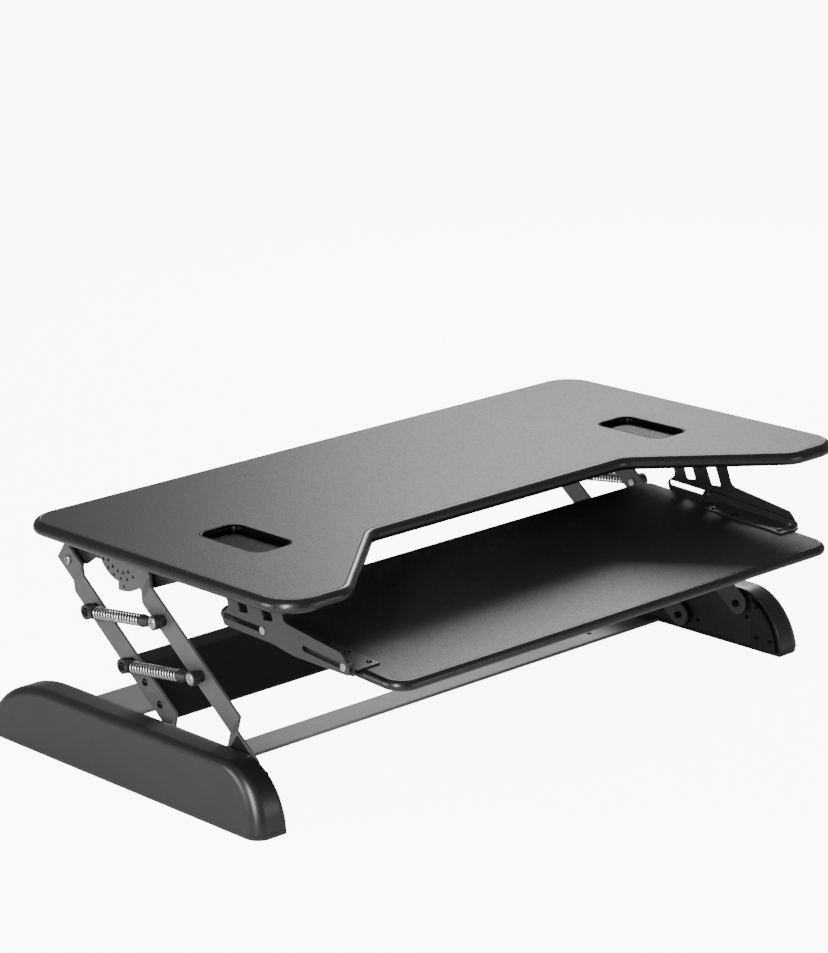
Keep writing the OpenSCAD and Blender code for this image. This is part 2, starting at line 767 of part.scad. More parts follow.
module tray_hanger(side) {
  y0 = deck_rear_y;
  top = deck_under - 0.2;
  color(black_paint) on(side) {
    plate(hanger_x, hanger_t) difference() {
      polygon(rounded([
        [y0 - 355, top, 0], [y0 - 489, top, 0], [y0 - 512, deck_under - 66, 14],
        [y0 - 646, deck_under - 85, 12], [y0 - 664, deck_under - 104, 8],
        [y0 - 664, deck_under - 118, 4], [y0 - 533, deck_under - 116, 20],
        [y0 - 484, deck_under - 108, 6], [y0 - 364, deck_under - 104, 8],
        [y0 - 359, deck_under - 86, 8], [y0 - 378, deck_under - 72, 8]
      ]));
      for (w = hanger_windows) polygon(rounded([
        [y0 + w[0], top - 4, 2], [y0 + w[1], top - 4, 2],
        [y0 + w[2], deck_under - 72, 4], [y0 + w[3], deck_under - 74, 4]
      ]));
      slot([for (t = [0 : 1]) slide_pin(t)], slot_half);
      slot([for (t = [0 : 0.125 : 1]) front_pin(t)], slot_half);
    }
    difference() {
      translate([hanger_x - 17, y0 - 489, top - 3]) cube([18, 134, 3]);
      for (y = hanger_screw_y) translate([hanger_x - 9, y, top - 4]) cylinder(h = 6, r = 2.6);
    }
  }
}

// ---------- keyboard tray ----------

module keyboard_tray() {
  e = tray_edge;
  half = tray_w / 2 + e;
  color(board) on_tray() translate([0, 0, -tray_t]) linear_extrude(tray_t) polygon(rounded([
    [half, tray_d + e, 16 + e], [-half, tray_d + e, 16 + e], [-half, -e, 28 + e], [half, -e, 28 + e]
  ]));
}

module tray_bracket(side) {
  color(black_paint) on(side) difference() {
    on_tray() {
      plate(bracket_pl_x, bracket_pl_t)
        polygon(rounded([[299, 14.5, 9], [84, 12, 10], [84, -12, 4], [299, -12, 6]]));
      difference() {
        translate([flange_x, 76, 0.1]) cube([bracket_pl_x - flange_x + 1, 178, 2.5]);
        for (s = tray_screw_s) translate([tray_screw_x, s, -1]) cylinder(h = 6, r = 2.1);
      }
    }
    for (p = [slide_pin(0), front_pin(0)])
      bar(bracket_pl_x - 1, bracket_pl_t + 2, pin_r - 0.5 + run_gap, p);
    bar(bracket_pl_x - 5, 4.9, 7.5, front_pin(0));
  }
}

// Shouldered pin: stem in the bracket, collar, runner in the slot, head outside.
module runner_pin(p) {
  bar(bracket_pl_x - 3, 2.8, 6, p);
  bar(bracket_pl_x - 0.4, bracket_pl_t + 1, pin_r - 0.5, p);
  bar(bracket_pl_x + bracket_pl_t + 0.2, 4.4, 7.5, p);
  bar(hanger_x - 0.6, hanger_t + 1, pin_r, p);
  bar(hanger_x + hanger_t + 0.3, 1.2, 6.3, p);
}

module tray_rear_pins() { color(steel) for (side = sides) on(side) runner_pin(slide_pin(0)); }
module tray_front_pins() { color(steel) for (side = sides) on(side) runner_pin(front_pin(0)); }

module tray_screws() {
  color(black_paint) for (side = sides) on(side) on_tray() for (s = tray_screw_s)
    translate([tray_screw_x, s, 0.1]) {
      cylinder(h = 2.6, r = 2);
      translate([0, 0, 2.55]) cylinder(h = 2.4, r1 = 5, r2 = 3.5);
    }
}

foot_cover(left);  // foot_cover_left
foot_cover(right);  // foot_cover_right
foot_plate(left);  // foot_plate_left
foot_plate(right);  // foot_plate_right
foot_nose(left);  // foot_nose_left
foot_nose(right);  // foot_nose_right
foot_base(left);  // foot_base_left
foot_base(right);  // foot_base_right
floor_pads();
front_crossbar();
rear_crossbar();
base_screws();
arm_pivot_bolts();
arm_pivot_spacers();
front_arm(left);  // front_arm_left
front_arm(right);  // front_arm_right
front_arm_pads();
spring_bushes();
spring_screws();
rear_arm(left);  // rear_arm_left
rear_arm(right);  // rear_arm_right
rear_arm_pads();
cross_panel();
panel_screws();
spring_posts();
upper_spring_caps();
upper_spring_eyes();
upper_springs();
lower_spring_caps();
lower_spring_eyes();
lower_springs();
worktop();
well_trim(left);  // well_trim_left
well_trim(right);  // well_trim_right
lift_bracket(left);  // lift_bracket_left
lift_bracket(right);  // lift_bracket_right
lock_housings();
deck_pivot_bolts();
deck_pivot_spacers();
tray_hanger(left);  // tray_hanger_left
tray_hanger(right);  // tray_hanger_right
deck_screws();
paddle_pins();
release_cables();
paddle(left);  // paddle_left
paddle(right);  // paddle_right
lock_bolt(left);  // lock_bolt_left
lock_bolt(right);  // lock_bolt_right
tray_rear_pins();
keyboard_tray();
tray_bracket(left);  // tray_bracket_left
tray_bracket(right);  // tray_bracket_right
tray_front_pins();
tray_screws();
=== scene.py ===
# %% [markdown]
# # A standing desk converter
#
# The real thing is two laminated boards, a worktop and a keyboard tray, carried by flat steel
# arms that swing up from two long plastic-covered feet. The engineering model already has every
# piece in its right place, so this lesson loads it as a fixed frame and works on the looks: the
# finishes, and the shapes that need rounder edges than the engineering model gives them.

# %% Load the engineering model
import json
import math

import bmesh
import bpy
from mathutils import Matrix, Vector


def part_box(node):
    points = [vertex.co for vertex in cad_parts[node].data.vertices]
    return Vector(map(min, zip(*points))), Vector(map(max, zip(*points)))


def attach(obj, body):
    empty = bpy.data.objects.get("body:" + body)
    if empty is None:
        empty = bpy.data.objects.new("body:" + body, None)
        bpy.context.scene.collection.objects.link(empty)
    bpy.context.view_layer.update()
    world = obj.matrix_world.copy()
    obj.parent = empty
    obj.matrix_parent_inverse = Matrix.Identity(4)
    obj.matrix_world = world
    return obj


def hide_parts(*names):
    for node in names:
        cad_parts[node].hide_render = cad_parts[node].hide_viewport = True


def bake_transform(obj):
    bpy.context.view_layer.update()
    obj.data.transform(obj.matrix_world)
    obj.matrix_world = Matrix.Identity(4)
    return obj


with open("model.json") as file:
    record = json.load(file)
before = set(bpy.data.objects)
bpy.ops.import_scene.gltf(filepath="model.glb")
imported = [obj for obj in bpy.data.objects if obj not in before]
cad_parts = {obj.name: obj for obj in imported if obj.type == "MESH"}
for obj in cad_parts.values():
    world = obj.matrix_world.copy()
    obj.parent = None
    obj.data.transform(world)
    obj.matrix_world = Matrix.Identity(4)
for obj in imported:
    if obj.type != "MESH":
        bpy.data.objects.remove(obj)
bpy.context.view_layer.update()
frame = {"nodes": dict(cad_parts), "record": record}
MM = 0.001

# %% [markdown]
# ## The camera
#
# A long lens, more than five metres from the object's left front, gives the gentle perspective
# of a catalogue. The camera could be aimed with a Track To constraint, but writing its three
# axes down as a matrix also keeps the small sideways roll.

# %% Camera
camera_data = bpy.data.cameras.new("catalogue_lens")
camera_data.lens = 125.9
camera_data.shift_x = -0.0495
camera_data.shift_y = -0.0175
camera = bpy.data.objects.new("catalogue_camera", camera_data)
bpy.context.collection.objects.link(camera)
to_right = Vector((0.7358, -0.6767, -0.0272))
to_top = Vector((0.2025, 0.1815, 0.9623))
to_back = to_right.cross(to_top)
turn = Matrix((to_right, to_top, to_back)).transposed()
camera.matrix_world = Matrix.Translation((-3.5545, -3.9924, 1.9313)) @ turn.to_4x4()
bpy.context.scene.camera = camera
print("camera is", round(camera.location.length, 2), "m from the middle")

# %% [markdown]
# ## Studio
#
# A white room seen in a black object is what makes it readable: every satin surface shows a soft
# copy of the white walls. The world gives that room, and area lights stand for the
# soft boxes: one high at the back right that lays a sheen over the boards, a narrow one at the
# left front that draws the bright upright streaks on the rounded foot, a wide one at the left
# for the faces of the arms, and a low one in front. The floor is a plain pale sheet.

# %% World, lights and floor
def linear(code):
    """An sRGB hex colour as the linear colour that shaders work in."""
    values = [int(code[i:i + 2], 16) / 255 for i in (0, 2, 4)]
    return [v / 12.92 if v <= 0.04045 else ((v + 0.055) / 1.055) ** 2.4 for v in values] + [1.0]


world = bpy.data.worlds.new("white_room")
world.use_nodes = True
world.node_tree.nodes["Background"].inputs["Color"].default_value = linear("f4f5f7")
world.node_tree.nodes["Background"].inputs["Strength"].default_value = 0.30
bpy.context.scene.world = world


def soft_box(name, place, target, width, height, power):
    """A rectangular area light at place that faces target."""
    lamp = bpy.data.lights.new(name, "AREA")
    lamp.shape = "RECTANGLE"
    lamp.size = width
    lamp.size_y = height
    lamp.energy = power
    stand = bpy.data.objects.new(name, lamp)
    bpy.context.collection.objects.link(stand)
    stand.location = place
    aim = Vector(target) - Vector(place)
    stand.rotation_euler = aim.to_track_quat("-Z", "Y").to_euler()
    return stand


soft_box("key_box", (2.9, 2.5, 2.3), (0.6, 0.0, 0.4), 1.6, 1.2, 70)
soft_box("front_box", (-2.8, -1.6, 1.6), (-0.6, -0.2, 0.1), 0.22, 1.9, 140)
soft_box("side_box", (-3.6, 1.2, 1.1), (-0.6, 0.1, 0.15), 1.6, 1.2, 62)
soft_box("low_box", (0.9, -3.0, 0.9), (0.1, 0.0, 0.2), 1.6, 0.8, 14)

floor_mesh = bpy.data.meshes.new("floor")
FLOOR = 80
floor_mesh.from_pydata([(-FLOOR, -FLOOR, 0), (FLOOR, -FLOOR, 0), (FLOOR, FLOOR, 0),
                        (-FLOOR, FLOOR, 0)], [], [(0, 1, 2, 3)])
floor = bpy.data.objects.new("floor", floor_mesh)
bpy.context.collection.objects.link(floor)

# %% [markdown]
# ## Making a finish
#
# Every finish below is a small node tree round one Principled shader. `finish` starts the
# material and `add` adds one node with its settings and links, which is all the help needed.
# Patterns are laid out in object coordinates, which are metres here, so a pattern of a known size
# in millimetres needs the scale 1 / size.

# %% Helpers for finishes
def finish(name, color, roughness, metallic=0.0, ior=None):
    """A material whose shader has its even values set straight on the sockets."""
    material = bpy.data.materials.new(name)
    material.use_nodes = True
    shader = material.node_tree.nodes["Principled BSDF"]
    shader.inputs["Base Color"].default_value = linear(color)
    shader.inputs["Roughness"].default_value = roughness
    shader.inputs["Metallic"].default_value = metallic
    if ior:
        shader.inputs["IOR"].default_value = ior
    return material, shader


def add(material, kind, inputs=(), **settings):
    """A node of that kind; inputs are pairs of socket name and value, or socket to link from."""
    made = material.node_tree.nodes.new(kind)
    for key, value in settings.items():
        setattr(made, key, value)
    for key, value in inputs:
        if isinstance(value, bpy.types.NodeSocket):
            material.node_tree.links.new(value, made.inputs[key])
        else:
            made.inputs[key].default_value = value
    return made


def place_of(material):
    """Object coordinates, the place of each point in metres."""
    return add(material, "ShaderNodeTexCoord").outputs["Object"]


def per_size(mm):
    """Scale of a pattern whose features are that many millimetres across."""
    return 1.0 / (mm * MM)


def join(material, output, shader, socket):
    """Link an output to one of the shader's sockets."""
    material.node_tree.links.new(output, shader.inputs[socket])


# %% [markdown]
# ## The floor
#
# The floor is white seamless paper. A catalogue shot is exposed so that the paper is pure white,
# but as much light as that needs would bounce up and wash out a black object. So the glow is
# added only for what is seen directly, with the Light Path node, and the object gets just the
# light that the paper really scatters. Paper has a faint fibre mottle, drawn 6 mm across.

# %% Floor paper
paper, paper_shader = finish("white_seamless_paper", "fbfbfb", 0.85)
fibres = add(paper, "ShaderNodeTexNoise", [("Vector", place_of(paper)), ("Scale", per_size(6)),
                                           ("Detail", 3.0)])
paper_shade = add(paper, "ShaderNodeMix", [("Factor", fibres.outputs["Fac"])], data_type="RGBA")
paper_shade.inputs[6].default_value = linear("f8f8f8")
paper_shade.inputs[7].default_value = linear("ffffff")
join(paper, paper_shade.outputs[2], paper_shader, "Base Color")
paper_shader.inputs["Emission Color"].default_value = linear("ffffff")
seen = add(paper, "ShaderNodeLightPath")
glow = add(paper, "ShaderNodeMath", [(0, seen.outputs["Is Camera Ray"]), (1, 9.0)],
           operation="MULTIPLY")
join(paper, glow.outputs["Value"], paper_shader, "Emission Strength")
floor.data.materials.append(paper)
print("floor paper:", paper.name)

# %% [markdown]
# ## Laminate for the two boards
#
# The boards are fibreboard pressed with black melamine paper. The press plate leaves fine pebbles
# about 1 mm across, and the paper's fibres make the black a little uneven. Pebbles of 1 mm are
# too fine to show in the render, so they are drawn at 2.4 mm. The pebbles' tops are polished by
# use and their valleys aren't, so one cell pattern drives both the bump and the roughness.

# %% Laminate
def pebbled_laminate(name, dark, light, roughness):
    material, shader = finish(name, dark, roughness, ior=1.53)
    where = place_of(material)
    pebbles = add(material, "ShaderNodeTexVoronoi", [("Vector", where), ("Scale", per_size(2.4))],
                  feature="SMOOTH_F1")
    clouds = add(material, "ShaderNodeTexNoise", [("Vector", where), ("Scale", per_size(90)),
                                                  ("Detail", 3.0)])
    specks = add(material, "ShaderNodeTexNoise", [("Vector", where), ("Scale", per_size(1.6)),
                                                  ("Detail", 2.0)])
    mixed = add(material, "ShaderNodeMath", [(0, clouds.outputs["Fac"]),
                                             (1, specks.outputs["Fac"])], operation="MULTIPLY")
    shade = add(material, "ShaderNodeValToRGB", [("Fac", mixed.outputs["Value"])])
    shade.color_ramp.elements[0].position = 0.12
    shade.color_ramp.elements[0].color = linear(dark)
    shade.color_ramp.elements[1].position = 0.42
    shade.color_ramp.elements[1].color = linear(light)
    wear = add(material, "ShaderNodeMapRange", [("Value", pebbles.outputs["Distance"]),
                                                ("From Max", 0.6),
                                                ("To Min", roughness - 0.08),
                                                ("To Max", roughness + 0.10)])
    bump = add(material, "ShaderNodeBump", [("Height", pebbles.outputs["Distance"]),
                                            ("Strength", 0.22), ("Distance", 0.3 * MM)],
               invert=True)
    join(material, shade.outputs["Color"], shader, "Base Color")
    join(material, wear.outputs["Result"], shader, "Roughness")
    join(material, bump.outputs["Normal"], shader, "Normal")
    return material


worktop_laminate = pebbled_laminate("black_melamine_worktop", "0d0d0d", "1b1b1a", 0.43)
tray_laminate = pebbled_laminate("black_melamine_tray", "0c0c0c", "151515", 0.44)
print("laminates:", worktop_laminate.name, tray_laminate.name)

# %% [markdown]
# ## Plastics
#
# The edge of each board is a black PVC moulding pressed into a groove, smoother than the
# laminate. The foot covers are moulded ABS with a fine spark-eroded texture, 0.5 mm grains, that
# turns reflections into soft glows. The hand wells are smoother ABS. Spring seats are nylon, the
# slippery pads acetal, and the feet stand on rubber. All are told apart by roughness and grain.

# %% Plastics and rubber
def moulded(name, dark, light, roughness, grain_mm, depth_mm, spread, ior=1.5):
    """A moulded plastic: even grain of grain_mm, with a slow change of shade across it."""
    material, shader = finish(name, dark, roughness, ior=ior)
    where = place_of(material)
    grain = add(material, "ShaderNodeTexNoise", [("Vector", where), ("Scale", per_size(grain_mm)),
                                                 ("Detail", 4.0), ("Roughness", 0.6)])
    slow = add(material, "ShaderNodeTexNoise", [("Vector", where), ("Scale", per_size(70)),
                                                ("Detail", 2.0)])
    shade = add(material, "ShaderNodeMix", [("Factor", slow.outputs["Fac"])], data_type="RGBA")
    shade.inputs[6].default_value = linear(dark)
    shade.inputs[7].default_value = linear(light)
    dull = add(material, "ShaderNodeMapRange", [("Value", grain.outputs["Fac"]),
                                                ("From Min", 0.3), ("From Max", 0.7),
                                                ("To Min", roughness - spread),
                                                ("To Max", roughness + spread)])
    bump = add(material, "ShaderNodeBump", [("Height", grain.outputs["Fac"]), ("Strength", 0.35),
                                            ("Distance", depth_mm * MM)])
    join(material, shade.outputs[2], shader, "Base Color")
    join(material, dull.outputs["Result"], shader, "Roughness")
    join(material, bump.outputs["Normal"], shader, "Normal")
    return material


edge_pvc = moulded("pvc_edge_moulding", "0c0c0c", "131313", 0.30, 2.2, 0.25, 0.07)
foot_abs = moulded("textured_abs_foot", "111112", "181819", 0.34, 1.8, 0.12, 0.05)
well_abs = moulded("smooth_abs_well", "020202", "050505", 0.26, 3.0, 0.001, 0.02, 1.15)
nylon = moulded("black_nylon_seat", "161617", "202021", 0.42, 1.5, 0.10, 0.06)
acetal = moulded("acetal_pad", "0e0e0f", "171718", 0.34, 2.0, 0.04, 0.04)
rubber = moulded("rubber_pad", "101010", "1a1a1a", 0.78, 1.6, 0.20, 0.08)
sheath = moulded("pvc_cable_sheath", "0d0d0e", "151516", 0.30, 2.4, 0.04, 0.04)
print("plastics:", edge_pvc.name, foot_abs.name, nylon.name, rubber.name)

# %% [markdown]
# ## Powder coat and metals
#
# The arms and brackets are steel with baked polyester powder. The powder melts into a skin with
# a gentle orange peel, bumps about 2 mm apart. Outer edges are drawn lighter: a painted edge
# highlight. Its mask comes from the Bevel node: it gives a rounded normal near an edge, so where
# it turns away from the true normal there is an edge.

# %% Powder coat
def powder_coat(name, dark, light, roughness, edge_mm=0.5):
    material, shader = finish(name, dark, roughness, ior=1.5)
    where = place_of(material)
    peel = add(material, "ShaderNodeTexNoise", [("Vector", where), ("Scale", per_size(2.6)),
                                                ("Detail", 2.0)])
    slow = add(material, "ShaderNodeTexNoise", [("Vector", where), ("Scale", per_size(45)),
                                                ("Detail", 4.0)])
    soft_edge = add(material, "ShaderNodeBevel", [("Radius", edge_mm * MM)], samples=4)
    true_face = add(material, "ShaderNodeNewGeometry")
    agree = add(material, "ShaderNodeVectorMath", [(0, soft_edge.outputs["Normal"]),
                                                   (1, true_face.outputs["Normal"])],
                operation="DOT_PRODUCT")
    edge = add(material, "ShaderNodeMapRange", [("Value", agree.outputs["Value"]),
                                                ("From Min", 0.99), ("From Max", 0.86),
                                                ("To Max", 0.45)])
    shade = add(material, "ShaderNodeMix", [("Factor", slow.outputs["Fac"])], data_type="RGBA")
    shade.inputs[6].default_value = linear(dark)
    shade.inputs[7].default_value = linear(light)
    # Outer edges are mixed toward light grey 6a6a69: a painted edge highlight.
    edge_highlight = add(material, "ShaderNodeMix", [("Factor", edge.outputs["Result"]),
                                           (6, shade.outputs[2])], data_type="RGBA")
    edge_highlight.inputs[7].default_value = linear("6a6a69")
    dull = add(material, "ShaderNodeMapRange", [("Value", peel.outputs["Fac"]),
                                                ("From Min", 0.3), ("From Max", 0.7),
                                                ("To Min", roughness - 0.05),
                                                ("To Max", roughness + 0.06)])
    bump = add(material, "ShaderNodeBump", [("Height", peel.outputs["Fac"]), ("Strength", 0.25),
                                            ("Distance", 0.15 * MM),
                                            ("Normal", soft_edge.outputs["Normal"])])
    join(material, edge_highlight.outputs[2], shader, "Base Color")
    join(material, dull.outputs["Result"], shader, "Roughness")
    join(material, bump.outputs["Normal"], shader, "Normal")
    return material


arm_coat = powder_coat("grey_powder_coat_arm", "3a3a39", "555553", 0.38)
bar_coat = powder_coat("grey_powder_coat_bar", "5c5c5a", "6e6e6b", 0.42)
bracket_coat = powder_coat("charcoal_powder_coat", "1c1c1c", "2a2a29", 0.38)
panel_coat = powder_coat("black_powder_coat", "050505", "090909", 0.55)
print("powder coats:", arm_coat.name, bracket_coat.name)

# %% [markdown]
# Bare metal parts are small: zinc-plated screws and pivots, black-oxide screws, and bright drawn
# spring wire. Zinc has tiny crystals that scatter light, oxide is duller, and drawn wire is the
# smoothest. For all three an even noise moves the roughness up and down, which a metal shows
# more clearly than any bump. The grain is drawn 1 to 2 mm across so that it shows.

# %% Metals
def bare_metal(name, color, light, roughness, spread, grain_mm):
    material, shader = finish(name, color, roughness, metallic=1.0)
    where = place_of(material)
    grain = add(material, "ShaderNodeTexNoise", [("Vector", where), ("Scale", per_size(grain_mm)),
                                                 ("Detail", 5.0)])
    shade = add(material, "ShaderNodeMix", [("Factor", grain.outputs["Fac"])], data_type="RGBA")
    shade.inputs[6].default_value = linear(color)
    shade.inputs[7].default_value = linear(light)
    dull = add(material, "ShaderNodeMapRange", [("Value", grain.outputs["Fac"]),
                                                ("From Min", 0.3), ("From Max", 0.7),
                                                ("To Min", roughness - spread),
                                                ("To Max", roughness + spread)])
    soft_edge = add(material, "ShaderNodeBevel", [("Radius", 0.35 * MM)], samples=4)
    join(material, shade.outputs[2], shader, "Base Color")
    join(material, dull.outputs["Result"], shader, "Roughness")
    join(material, soft_edge.outputs["Normal"], shader, "Normal")
    return material


zinc = bare_metal("zinc_plated_steel", "9a9b9d", "bcbdbf", 0.28, 0.10, 2.0)
spring_wire = bare_metal("drawn_spring_wire", "c6c7c9", "e4e5e7", 0.26, 0.06, 1.2)
black_oxide = bare_metal("black_oxide_steel", "1c1c1e", "2b2b2e", 0.36, 0.08, 1.8)
print("metals:", zinc.name, spring_wire.name, black_oxide.name)

# %% [markdown]
# ## Outlines
#
# Both boards and the lips of the wells are outlines with rounded corners. A Bevel modifier on a
# plain polygon could round them, but each corner here has its own radius, so `rounded` works out
# the arcs itself. `outward` then gives each point the direction that leads away from the shape,
# which is all that is needed to run a moulding round it.

# %% Rounded outlines
def rounded(corners, steps=14):
    """Closed outline through (x, y, radius) corners given anticlockwise, all in millimetres."""
    points = []
    for i, (x, y, radius) in enumerate(corners):
        here = Vector((x, y))
        back = (Vector(corners[i - 1][:2]) - here).normalized()
        ahead = (Vector(corners[(i + 1) % len(corners)][:2]) - here).normalized()
        half = back.angle(ahead) / 2
        middle = here + (back + ahead).normalized() * (radius / math.sin(half))
        start = here + back * (radius / math.tan(half)) - middle
        stop = here + ahead * (radius / math.tan(half)) - middle
        sweep = math.atan2(start.cross(stop), start.dot(stop))
        for k in range(steps + 1):
            points.append(middle + Matrix.Rotation(sweep * k / steps, 2) @ start)
    return points


def outward(points, closed=True):
    """Unit direction away from an anticlockwise outline, at each of its points."""
    last = len(points) - 1
    found = []
    for i, point in enumerate(points):
        after = points[(i + 1) % len(points)] if closed or i < last else point
        before = points[i - 1] if closed or i else point
        along = (after - before).normalized()
        found.append(Vector((along.y, -along.x)))
    return found


def beside(outline, out, height):
    """Points (x, y, height) that lie out millimetres outside an outline."""
    return [(p.x + w.x * out, p.y + w.y * out, height)
            for p, w in zip(outline, outward(outline))]


def publish(name, mesh_maker, body, material, nodes, smooth=35):
    """Turn a filled bmesh into a piece that rides on a body and stands for CAD nodes."""
    bmesh.ops.remove_doubles(mesh_maker, verts=mesh_maker.verts, dist=1e-6)
    bmesh.ops.recalc_face_normals(mesh_maker, faces=mesh_maker.faces)
    mesh = bpy.data.meshes.new(name)
    mesh_maker.to_mesh(mesh)
    mesh_maker.free()
    mesh.shade_smooth()
    mesh.set_sharp_from_angle(angle=math.radians(smooth))
    mesh.materials.append(material)
    piece = bpy.data.objects.new(name, mesh)
    bpy.context.collection.objects.link(piece)
    if body:
        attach(piece, body)
    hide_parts(*nodes)
    print(name, "has", len(mesh.polygons), "faces")
    return piece


def skin(maker, rings, closed=True):
    """Quads between rings of points in millimetres; gives back the rings of vertices."""
    rows = [[maker.verts.new(Vector(p) * MM) for p in ring] for ring in rings]
    for low, high in zip(rows, rows[1:]):
        for i in range(len(low) if closed else len(low) - 1):
            j = (i + 1) % len(low)
            maker.faces.new((low[i], low[j], high[j], high[i]))
    return rows


print("a 100 mm square with 10 mm corners has", len(rounded([(100, 100, 10), (0, 100, 10),
                                                             (0, 0, 10), (100, 0, 10)])), "points")

# %% [markdown]
# ## The boards
#
# A board is two things: a flat slab of laminated fibreboard, and a soft PVC moulding tapped into
# a groove round its edge. The moulding stands out beyond the flat top and curls under the slab.
# It could be a curve with a bevel profile; here the profile is written as pairs of how far out
# and how high, and a ring of points is made for each pair. The slab keeps a gap of 0.2 mm, the
# fine line that is seen where laminate meets moulding.

# %% Slab and moulding
def slab(name, outline, holes, top, thickness, place, body, material, nodes):
    """Flat laminate slab with a small chamfer, and holes cut right through it."""
    maker = bmesh.new()
    chamfer, gap = 0.5, 0.2
    bottom = top - thickness
    loops = [(outline, -1)] + [(hole, 1) for hole in holes]
    for height in (top, bottom):
        edges = []
        for loop, side in loops:
            ring = [maker.verts.new(Vector(p) * MM) for p in beside(loop, chamfer * side, height)]
            edges += [maker.edges.new((ring[i - 1], ring[i])) for i in range(len(ring))]
        bmesh.ops.triangle_fill(maker, edges=edges, use_beauty=True)
    for loop, side in loops:
        skin(maker, [beside(loop, inset * side, height)
                     for inset, height in ((chamfer, top), (gap, top - 0.3),
                                           (gap, bottom + 0.3), (chamfer, bottom))])
    maker.transform(place)
    return publish(name, maker, body, material, nodes, smooth=20)


def moulding(name, outline, profile, place, body, nodes):
    """Rounded strip round an outline, from (out, height) pairs."""
    maker = bmesh.new()
    skin(maker, [beside(outline, out, height) for out, height in profile + profile[:1]])
    maker.transform(place)
    return publish(name, maker, body, edge_pvc, nodes, smooth=50)


def curl(out, top, thick, drop):
    """Profile of a moulding that rounds over, is widest at drop, and curls back under."""
    upper = [(out * math.sin(t), top - drop + drop * math.cos(t))
             for t in (math.radians(a) for a in (14, 26, 38, 50, 62, 74, 84, 90))]
    under = thick - drop
    lower = [(out * math.cos(t) ** 0.7, top - drop - under * math.sin(t))
             for t in (math.radians(a) for a in (16, 32, 48, 62, 74, 84))]
    return [(-4, top - thick + 1), (-4, top - 1), (-0.1, top - 0.5), (0.4, top - 0.05)] + \
        upper + lower + [(-0.3, top - thick)]


# %% [markdown]
# ## Worktop
#
# The front of the worktop has two wings with a trapezium cut between them, so its outline has
# eight corners. Its wells are holes in the slab, a hair wider than the lips that drop into them.

# %% Worktop
low_deck, high_deck = [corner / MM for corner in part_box("worktop")]
deck_edge = 13
deck_x = high_deck.x - deck_edge
deck_rear = high_deck.y - deck_edge
deck_front = low_deck.y + deck_edge
deck_top = high_deck.z
deck_thick = deck_top - low_deck.z
recess_depth = 459
recess_y = deck_rear - recess_depth
deck_outline = rounded([
    (deck_x, deck_front, 50), (deck_x, deck_rear, 50), (-deck_x, deck_rear, 50),
    (-deck_x, deck_front, 50), (-500, deck_front, 45), (-286, recess_y, 50),
    (286, recess_y, 50), (500, deck_front, 45)])
well_boxes = {}
for side in ("left", "right"):
    low, high = [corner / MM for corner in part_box("well_trim_" + side)]
    well_boxes[side] = (low, high)


def box_outline(low, high, grow, radius):
    """Rounded box outline a little larger or smaller than a box."""
    return rounded([(high.x + grow, low.y - grow, radius), (high.x + grow, high.y + grow, radius),
                    (low.x - grow, high.y + grow, radius), (low.x - grow, low.y - grow, radius)])


holes = [box_outline(low, high, 0.1, 24) for low, high in well_boxes.values()]
flat = Matrix.Identity(4)
slab("worktop_slab", deck_outline, holes, deck_top, deck_thick, flat, "deck",
     worktop_laminate, ["worktop"])
moulding("worktop_moulding", deck_outline, curl(deck_edge, deck_top, deck_thick, 13), flat,
         "deck", ["worktop"])

# %% [markdown]
# ## Keyboard tray
#
# The tray is the same construction, thinner and tilted, so it is drawn flat and then turned.

# %% Tray
tray_tilt = math.radians(3.4)
tray_edge = 10
tray_place = Matrix.Translation((0, -0.445, 0.2692)) @ Matrix.Rotation(tray_tilt, 4, "X")
tray_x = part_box("keyboard_tray")[1].x / MM - tray_edge
tray_outline = rounded([(tray_x, 0, 28), (tray_x, 421, 16), (-tray_x, 421, 16), (-tray_x, 0, 28)])
slab("tray_slab", tray_outline, [], 0, 17, tray_place, "tray", tray_laminate,
     ["keyboard_tray"])
moulding("tray_moulding", tray_outline, curl(tray_edge, 0, 17, 10), tray_place, "tray",
         ["keyboard_tray"])

# %% [markdown]
# ## Hand wells
#
# Each well is lined with one glossy moulding: a thin lip lying in the worktop, a soft shoulder,
# and a sleeve that goes down through the board. One profile swept round the box makes all of it.

# %% Wells
for side, (low, high) in well_boxes.items():
    maker = bmesh.new()
    lip = box_outline(low, high, 0, 24)
    profile = [(-4.4, low.z), (-4.4, deck_top - 2), (-0.3, deck_top - 1.8), (0, deck_top - 0.6),
               (-0.5, deck_top - 0.1), (-2.2, deck_top - 0.05), (-3.4, deck_top - 0.5),
               (-4.6, deck_top - 1.7), (-5.5, deck_top - 4), (-6.2, deck_top - 8),
               (-6.6, deck_top - 14), (-6.8, low.z + 0.5), (-6.0, low.z), (-4.4, low.z)]
    skin(maker, [beside(lip, out, height) for out, height in profile])
    publish("well_lining_" + side, maker, "deck", well_abs,
            ["well_trim_" + side], smooth=40)

# %% [markdown]
# ## Foot covers
#
# A foot cover is a long moulded shell: level on top, a quarter ellipse at each end, with one big
# soft round that runs over the whole outline between the flat outer face and the top. That round
# is tight along the top and wide at the ends. Subdividing a box would lose the flat face, so the
# side outline is swept instead, row by row, from the inner rim across the top and over the round.

# %% Foot covers
def foot_outline(low, high, front_reach=95, rear_reach=165, steps=18):
    """Side view of a foot as (y, z), from the rear bottom over the top to the front bottom."""
    base = low.z - 5
    height = high.z - base
    first = math.degrees(math.asin(5 / height))
    turns = [math.radians(first + (90 - first) * k / steps) for k in range(steps + 1)]
    rear = [Vector((high.y - rear_reach + rear_reach * math.cos(t), base + height * math.sin(t)))
            for t in turns]
    front = [Vector((low.y + front_reach - front_reach * math.cos(t), base + height * math.sin(t)))
             for t in reversed(turns)]
    level = [rear[-1].lerp(front[0], k / 10) for k in range(1, 10)]
    return rear + level + front


